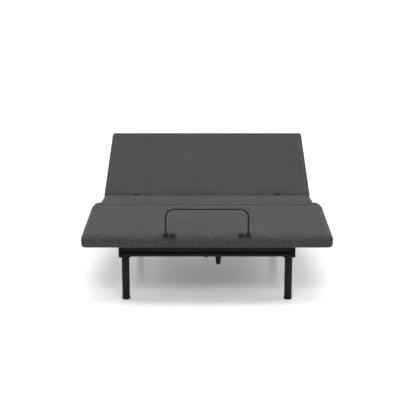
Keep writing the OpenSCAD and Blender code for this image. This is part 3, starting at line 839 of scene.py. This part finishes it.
def make_lining(section):
    """Thin black dust cover stretched under a board. The tubes press it flat, and it sags between."""
    step, pressed, rise = 16 * MM, 13 * MM, 70 * MM
    wide, long = section.half.x - LINING_INSET, section.half.y - LINING_INSET
    nx, ny = round(2 * wide / step), round(2 * long / step)
    x, y = np.meshgrid(np.linspace(-wide, wide, nx), np.linspace(-long, long, ny))
    rim = np.minimum(wide - np.abs(x), long - np.abs(y))
    free = np.clip((np.abs(np.abs(x) - TUBE_X) - pressed) / rise, 0, 1)
    for node in CROSS_TUBES[section.name]:
        low, high = section.node_span(node)
        free *= np.clip((np.abs(y - (low.y + high.y) / 2) - pressed) / rise, 0, 1)
    sag = 4.0 * MM * np.clip(rim / (120 * MM), 0, 1) * free
    ripple = np.sin(x * 41 + 3 * y) * np.sin(y * 33 - 2 * x) + 0.5 * np.sin((x + y) * 73)
    tension = 0.5 * MM * ripple * np.clip(1 - rim / (150 * MM), 0.25, 1) * free
    z = -(0.5 * MM + 1.9 * MM * np.clip(1 - rim / (20 * MM), 0, 1) + sag) + tension
    sheet = np.column_stack([x.ravel(), y.ravel(), z.ravel()])
    upper = sheet + np.array([0, 0, 0.35 * MM])
    count = len(sheet)
    faces = []
    for j in range(ny - 1):
        for i in range(nx - 1):
            a = j * nx + i
            quad = (a, a + 1, a + nx + 1, a + nx)
            faces.append(quad[::-1])
            faces.append(tuple(k + count for k in quad))
    grid = np.arange(count).reshape(ny, nx)
    border = [int(k) for k in (*grid[0], *grid[1:, -1], *grid[-1, -2::-1], *grid[-2:0:-1, 0])]
    for a, b in zip(border, border[1:] + border[:1]):
        faces.append((a, b, b + count, a + count))
    mesh = mesh_from(section.name + "_lining", np.vstack([sheet, upper]), faces)
    mesh.transform(section.to_world)
    lining = new_object(section.name + "_lining", mesh, LINING, smooth_angle=60)
    tie(lining, section.body)


def make_staples(section, rng):
    """Wire staples round the hem, a little out of line, kept clear of the tubes."""
    inset, pitch, wire, depth = 41 * MM, 62 * MM, 0.55, -2.3
    path = rounded_loop(section.half.x - inset, section.half.y - inset, 4 * MM, 2, pitch)
    parts = []
    for k, (x, y) in enumerate(path):
        ahead = path[(k + 1) % len(path)]
        at_tube = TUBE_X - 22 * MM < abs(x) < TUBE_X + 40 * MM
        if math.dist((x, y), ahead) < 40 * MM or at_tube:
            continue
        lean = math.atan2(ahead[1] - y, ahead[0] - x) + rng.uniform(-0.3, 0.3)
        crown = tube_mesh([(-5.6, 0, 0.6), (-5.4, 0, -0.35), (-4.6, 0, -0.55), (4.6, 0, -0.55),
                           (5.4, 0, -0.35), (5.6, 0, 0.6)], wire, sides=6)
        spot = (x / MM + rng.uniform(-2, 2), y / MM + rng.uniform(-2, 2), depth)
        parts.append((crown, shift(*spot, Matrix.Rotation(lean, 4, "Z"))))
    fitting(section.name + "_staples", section.body, "zinc_plated_steel", parts, section.to_world)


# ---- Fittings, drawn in millimetres ----

ALONG_X = Matrix.Rotation(math.pi / 2, 4, "Y")
ALONG_Y = Matrix.Rotation(-math.pi / 2, 4, "X")
UPSIDE_DOWN = Matrix.Rotation(math.pi, 4, "X")


def fitting(name, body, slot, parts, place=Matrix(), node=None, smooth=35):
    """Joins parts drawn in millimetres into one piece, put in place and tied to its body."""
    mesh = joined(name, parts)
    mesh.transform(place @ Matrix.Scale(MM, 4))
    tie(new_object(name, mesh, FINISH[slot], smooth_angle=smooth), body, node)


def screw(radius, height):
    """A socket-head screw that stands up along z."""
    bore, depth = radius * 0.5, height * 0.6
    return lathe([(radius, 0), (radius, height - 0.6), (radius - 0.6, height), (bore + 0.2, height),
                  (bore, height - 0.3), (bore, height - depth), (0.2, height - depth)], steps=24)


def around(count, radius, height, part, turn=Matrix(), start=0.0):
    """Copies of a part on a circle round the z axis, then turned to another axis."""
    copies = []
    for i in range(count):
        angle = 2 * math.pi * (i + start) / count
        spot = shift(radius * math.cos(angle), radius * math.sin(angle), height)
        copies.append((part.copy(), turn @ spot))
    bpy.data.meshes.remove(part)
    return copies


def make_motor(node):
    """Gear housing round the spindle, a motor that hangs beside it, and the pivot lug.
    The pivot is at the origin and the spindle runs along y."""
    gear_r, lug_r, lug_steps, boss_circle = 26, 13, 12, 23.0
    low, high = lowest(node), highest(node)
    place = Matrix.Translation((low.x + gear_r * MM, low.y + lug_r * MM, high.z - gear_r * MM))
    housing = [(0.4, 18), (18.5, 18), (22.3, 19.2), (24.3, 22.5), (24.5, 40), (26, 41.6), (26, 47.2),
               (25.0, 47.6), (25.0, 48.4), (26, 48.8), (26, 54.4), (24.6, 56), (23.7, 73.6),
               (22.2, 76), (19.5, 76), (19.2, 75.4), (19.2, 56), (0.4, 56)]
    can = [(0.4, 22), (14, 22), (18.6, 21.3), (21.7, 19.2), (23, 15.8), (23, 6.2), (22.2, 5.6),
           (22.2, 4.4), (23, 3.8), (23, -11.6), (24.1, -12.6), (24.1, -18), (23, -19), (23, -21.2),
           (21.2, -22.6), (20.6, -27), (20.4, -28), (18.3, -42), (16.2, -58), (14.2, -74),
           (13.6, -79), (13.2, -81), (12.6, -86), (10.8, -88), (7.5, -88), (7, -86.6), (0.4, -86.6)]
    lug = [(20.5, -16), (6, -13)]
    for i in range(lug_steps + 1):
        angle = -math.pi / 2 - math.pi * i / lug_steps
        lug.append((lug_r * math.cos(angle), lug_r * math.sin(angle)))
    lug += [(6, 13), (20.5, 16)]
    boss = lathe([(0.2, 0), (3.0, 0), (3.5, 0.7), (3.5, 27), (0.2, 27)], steps=20)
    parts = [(lathe(housing, steps=64), ALONG_Y), plate(lug, -9, 9, 1.2),
             (lathe(can, steps=96, ripple=(12, 0.55, -79.5, -27.5)), shift(33, 46, 0)),
             rounded_box((0, 26, -20), (33, 66, 20), 3.5, 3),
             rounded_box((6, 30, -21.6), (27, 62, 21.6), 1.4),
             rounded_box((30, 34, 8), (57.4, 58, 14), 1.5)]
    parts += around(4, boss_circle, 35, boss, ALONG_Y, start=0.5)
    socket = lathe([(5.4, 0), (5.4, 7.2), (4.9, 7.8), (3.9, 7.8), (3.6, 7.2), (3.6, 3), (0.2, 3)], steps=28)
    parts.append((socket, shift(17, 64.5, 9, ALONG_Y)))
    fitting(node, "base", "black_plastic", parts, place, node)
    screws = around(4, boss_circle, 62, screw(2.9, 2.0), ALONG_Y, start=0.5)
    for x, y in ((9.5, 34), (23.5, 34), (9.5, 58), (23.5, 58)):
        screws.append((screw(2.1, 1.2), shift(x, y, 21.5)))
        screws.append((screw(2.1, 1.2), shift(x, y, -21.5, UPSIDE_DOWN)))
    fitting(node + "_screws", "base", "zinc_plated_steel", screws, place)


def make_actuator_tube(node):
    """The plastic tube round a spindle, with screw channels and a ribbed collar."""
    low, high = lowest(node), highest(node)
    axis = middle(node)
    length = (high.y - low.y) / MM
    collar = length - 24
    outer = [(10.7, 0), (17.6, 0), (19, 1.2), (19, 36), (18.4, 36.6), (18.4, 38.4), (19, 39)]
    outer += [(r, collar + y) for r, y in (
        (19, -15), (18.2, -14), (18.2, -11.6), (19, -10.8), (19, -1), (21, 0), (22, 1.6), (21.7, 2.4),
        (21.7, 13), (22, 14), (22, 21.4), (20.4, 23.4), (14, 24), (13.5, 22.8), (12.8, 22.8), (12.4, 24),
        (10.7, 24))]
    tube = lathe(outer, steps=96, ring=True, ripple=(24, 0.45, collar + 2, collar + 13.5))
    channel = lathe([(0.2, 0), (1.6, 0), (2.2, 0.8), (2.2, collar - 4), (0.2, collar - 4)], steps=14)
    parts = [(tube, ALONG_Y)] + around(4, 18.2, 2, channel, ALONG_Y, start=0.5)
    place = Matrix.Translation((axis.x, low.y, axis.z))
    fitting(node, "base", "black_plastic", parts, place, node)
    fitting(node + "_screws", "base", "zinc_plated_steel",
            around(4, 17.0, collar + 23.2, screw(1.9, 1.3), ALONG_Y, start=0.5), place)


def make_control_box(node):
    """Two moulded shells with vents, mounting tabs and the sockets on the foot side."""
    low, size = lowest(node), (highest(node) - lowest(node)) / MM
    wide, long, tall = size
    lid = tall - 9
    sockets_at, socket_z, socket_r = (90, 125, 160), 22, 8
    shell = rounded_box((0, 0, 0), (wide, long, lid - 0.7), 4, 3, upright_only=True)
    top = rounded_box((0.6, 0.6, lid), (wide - 0.6, long - 0.6, tall), 3.6, 3, upright_only=True)
    core = rounded_box((1.4, 1.4, 1), (wide - 1.4, long - 1.4, tall - 1), 3, 2, upright_only=True)
    piece = new_object("box_body", joined("box_body", [shell, core, top]), PLASTIC)
    cutters = [rounded_box((24, -3, 12), (52, 12, 32), 1.5, 2)]
    cutters += [(lathe([(0.2, -3), (socket_r, -3), (socket_r, 12), (0.2, 12)], steps=32),
                 shift(x, 0, socket_z, ALONG_Y)) for x in sockets_at]
    for x in range(40, 165, 12):
        cutters.append(rounded_box((x, 26, -3), (x + 5, long - 26, 1.6), 1.2, 2))
    cutter = new_object("box_cutter", joined("box_cutter", cutters), PLASTIC)
    apply_modifiers(piece, ("BOOLEAN", {"object": cutter, "operation": "DIFFERENCE", "solver": "EXACT"}))
    body = piece.data.copy()
    for spare in (piece, cutter):
        bpy.data.objects.remove(spare)
    rim = [(socket_r, 0), (9.6, 0), (9.6, -1.4), (9.2, -1.8), (8.2, -1.8), (socket_r, -1.4)]
    rims = [(lathe(rim, steps=36, ring=True), shift(x, 0, socket_z, ALONG_Y)) for x in sockets_at]
    plug = [(0.2, 12), (5.2, 12), (5.2, 4), (4.8, 3.6), (0.2, 3.6)]
    plugs = [(lathe(plug, steps=24), shift(x, 0, socket_z, ALONG_Y)) for x in sockets_at]
    tabs = [rounded_box((x, long * y - 9, tall - 3.2), (x + 12, long * y + 9, tall - 0.2), 1.3, 2)
            for x in (-9, wide - 3) for y in (0.2, 0.8)]
    lens = lathe([(0.2, 1.6), (1.4, 1.3), (2.2, 0.5), (2.3, 0), (0.2, 0)], steps=20)
    fitting(node, "base", "black_plastic", [body] + rims + plugs + tabs, Matrix.Translation(low), node)
    metal = [rounded_box((x - 0.9, 3.5, z - 2.2), (x + 0.9, 12, z + 2.2), 0.5, 1)
             for x, z in ((32, 20), (44, 20), (38, 26))]
    metal += [(screw(2.6, 1.8), shift(x, long * y, tall - 3.2, UPSIDE_DOWN))
              for x in (-4.5, wide + 4.5) for y in (0.2, 0.8)]
    metal += [(screw(2.4, 1.2), shift(x, y, 0.2, UPSIDE_DOWN)) for x in (9, wide - 9) for y in (9, long - 9)]
    metal.append((lens, shift(70, 0, socket_z, Matrix.Rotation(math.pi / 2, 4, "X"))))
    fitting(node + "_contacts", "base", "zinc_plated_steel", metal, Matrix.Translation(low))


def make_roller(node, body):
    """A moulded wheel: a crowned tread, a thin web with ribs and a hub."""
    tread = [(5.2, -7), (9.6, -7), (10, -6.6), (10.4, -2.2), (14.3, -2.4), (14.5, -5.6), (15, -6.2),
             (18.4, -6.2), (19.3, -5.2), (19.5, -3)]
    tread += [(radius, -height) for radius, height in reversed(tread)]
    rib = rounded_box((9.6, -1.0, -4.8), (15, 1.0, 4.8), 0.4, 1)
    parts = [(lathe(tread, steps=64, ring=True), ALONG_X)]
    for i in range(8):
        parts.append((rib.copy(), ALONG_X @ Matrix.Rotation(math.pi / 4 * i, 4, "Z")))
    bpy.data.meshes.remove(rib)
    fitting(node, body, "black_plastic", parts, Matrix.Translation(middle(node)), node=node)


def make_knobs(section):
    """Hand screws with seven grips and a dished top."""
    low, high = section.node_span("retainer_knobs")
    x, y = high.x / MM - 15, (low.y + high.y) / 2 / MM
    base = low.z / MM
    profile = [(0.2, -0.1), (11.5, -0.1), (13.2, 0.6), (14.1, 2.2), (14.1, 6.2), (13.2, 8.1), (11.4, 9),
               (9, 9), (7.6, 8.2), (3, 7.9), (0.2, 7.9)]
    parts = []
    for side in (-1, 1):
        knob = lathe(profile, steps=84, ripple=(7, 0.85, 0.5, 8.5))
        stem = lathe([(0.2, 0), (4, 0), (4, 3.6), (0.2, 3.6)], steps=24)
        turn = Matrix.Rotation(0.3 * side, 4, "Z")
        parts += [(knob, shift(side * x, y, base + 3.2, turn)), (stem, shift(side * x, y, base))]
    fitting("retainer_knobs", section.body, "black_plastic", parts, section.to_world, node="retainer_knobs")


def make_glide(node):
    """A plastic foot with a softened edge, two fine rings and a spigot inside the leg."""
    profile = [(0.3, 0), (20.4, 0), (22.6, 0.5), (24.2, 1.8), (25, 4), (25, 9.6), (24.4, 10), (24.4, 10.8),
               (25, 11.2), (25, 15), (24.4, 16), (21.9, 16), (21.9, 33.5), (20.9, 35), (0.3, 35)]
    centre = middle(node)
    fitting(node, "base", "black_plastic", [lathe(profile, steps=72)],
            Matrix.Translation((centre.x, centre.y, 0)), node=node)


def bead(start, end, rng, size=2.2):
    """A weld bead between two points in millimetres, with its ripples."""
    start, end = Vector(start), Vector(end)
    count = max(4, round((end - start).length / 1.6))
    path, radii = [], []
    for i in range(count + 1):
        taper = min(1, (i + 0.6) / 2, (count - i + 0.6) / 2)
        wander = Vector([rng.uniform(-0.2, 0.2) for _ in range(3)])
        path.append(start.lerp(end, i / count) + wander)
        radii.append(size * taper * (0.86 + 0.14 * abs(math.sin(i * 1.15))))
    return tube_mesh(path, radii, sides=8)


def crossbar_beads(node, web_at, bottom, top, rng):
    """Beads where a crossbar's web and flanges meet the rails. web_at is 1 at its head side, or -1."""
    depth, gap, lip = 22, 3, 6
    low, high = lowest(node) / MM, highest(node) / MM
    web, tip = (low.y + depth, low.y + gap) if web_at > 0 else (low.y, low.y + depth - gap)
    beads = []
    for x in (low.x, high.x):
        beads.append(bead((x, web, bottom + lip), (x, web, top - lip), rng))
        for z in (top, bottom):
            beads.append(bead((x, web - 2 * web_at, z), (x, tip, z), rng))
    return beads


def beads_round(low, high, stations, inset, size, rng):
    """Beads on three sides of a cross tube, at the given places along it."""
    beads = []
    for x in stations:
        for y in (low.y, high.y):
            beads.append(bead((x, y, low.z + inset), (x, y, high.z - inset), rng, size))
        beads.append(bead((x, low.y + 2, low.z), (x, high.y - 2, low.z), rng, size))
    return beads


def make_welds(rng):
    """Weld beads on the lower frame, and on the cross tubes and levers of each section."""
    rail = highest("side_rail_right") / MM
    rail_bottom = lowest("side_rail_right").z / MM
    beads = []
    for node, web_at in (("front_crossbar", 1), ("foot_motor_crossbar", 1),
                         ("back_motor_crossbar", 1), ("rear_crossbar", -1)):
        beads += crossbar_beads(node, web_at, rail_bottom, rail.z, rng)
    for side in (-1, 1):
        x = side * (rail.x - 23)
        for leg in ("leg_front_left", "leg_rear_left"):
            y = middle(leg).y / MM
            for start, end in ((-30, -8), (8, 30)):
                beads.append(bead((x, y + start, rail_bottom), (x, y + end, rail_bottom), rng, 2.0))
    fitting("frame_welds", "base", "black_paint", beads, smooth=50)
    for name, nodes in CROSS_TUBES.items():
        section = SECTIONS[name]
        beads = []
        for node in nodes:
            low, high = (corner / MM for corner in section.node_span(node))
            beads += beads_round(low, high, (low.x, high.x), 3, 1.7, rng)
            if name + "_lever" in NODES and node.endswith("lift_tube"):
                levers = [corner.x / MM for corner in section.node_span(name + "_lever")]
                beads += beads_round(low, high, levers, 2, 1.8, rng)
        fitting(name + "_welds", section.body, "black_paint", beads, section.to_world, smooth=50)


def soften_edges():
    """A fine bevel on the CAD nodes that stay in sight."""
    kinds = ("black_paint", "leg_paint", "zinc_plated_steel", "plywood")
    for name, piece in NODES.items():
        if SLOT_OF[name] not in kinds:
            continue
        piece.modifiers.new("weld", "WELD").merge_threshold = 0.02 * MM
        bevel = piece.modifiers.new("bevel", "BEVEL")
        bevel.width = 0.6 * MM
        bevel.segments = 2
        bevel.limit_method = "ANGLE"
        bevel.angle_limit = math.radians(40)


# ---- Assembly ----

make_camera()
make_lights()
make_floor()

CLOTH = cloth_material()
THREAD = thread_material()
LINING = lining_material()
FRAME_COAT = coat_material("frame_coat", 0.0025, 0.40)
LEG_COAT = coat_material("leg_coat", 0.0035, 0.36)
PLASTIC = plastic_material()
ZINC = zinc_material()
PLYWOOD = plywood_material()
FINISH = {"charcoal_cloth": CLOTH, "black_paint": FRAME_COAT, "leg_paint": LEG_COAT,
          "black_plastic": PLASTIC, "zinc_plated_steel": ZINC, "plywood": PLYWOOD}

for name, piece in NODES.items():
    piece.data.materials.clear()
    piece.data.materials.append(FINISH[SLOT_OF[name]])

SECTIONS = {name: Section(name, BODY_OF[name + "_board"]) for name in ("calf", "thigh", "seat", "back")}
RNG = random.Random(7)
for section in SECTIONS.values():
    make_pad(section)
    make_hem(section)
    make_lining(section)
    make_staples(section, RNG)
for side in ("back", "foot"):
    make_motor(side + "_motor")
    make_actuator_tube(side + "_actuator_tube")
make_control_box("control_box")
make_roller("roller_left", "left_roller")
make_roller("roller_right", "right_roller")
make_knobs(SECTIONS["calf"])
for end in ("front_left", "front_right", "rear_left", "rear_right"):
    make_glide("glide_" + end)
make_welds(RNG)
soften_edges()

bpy.context.view_layer.update()
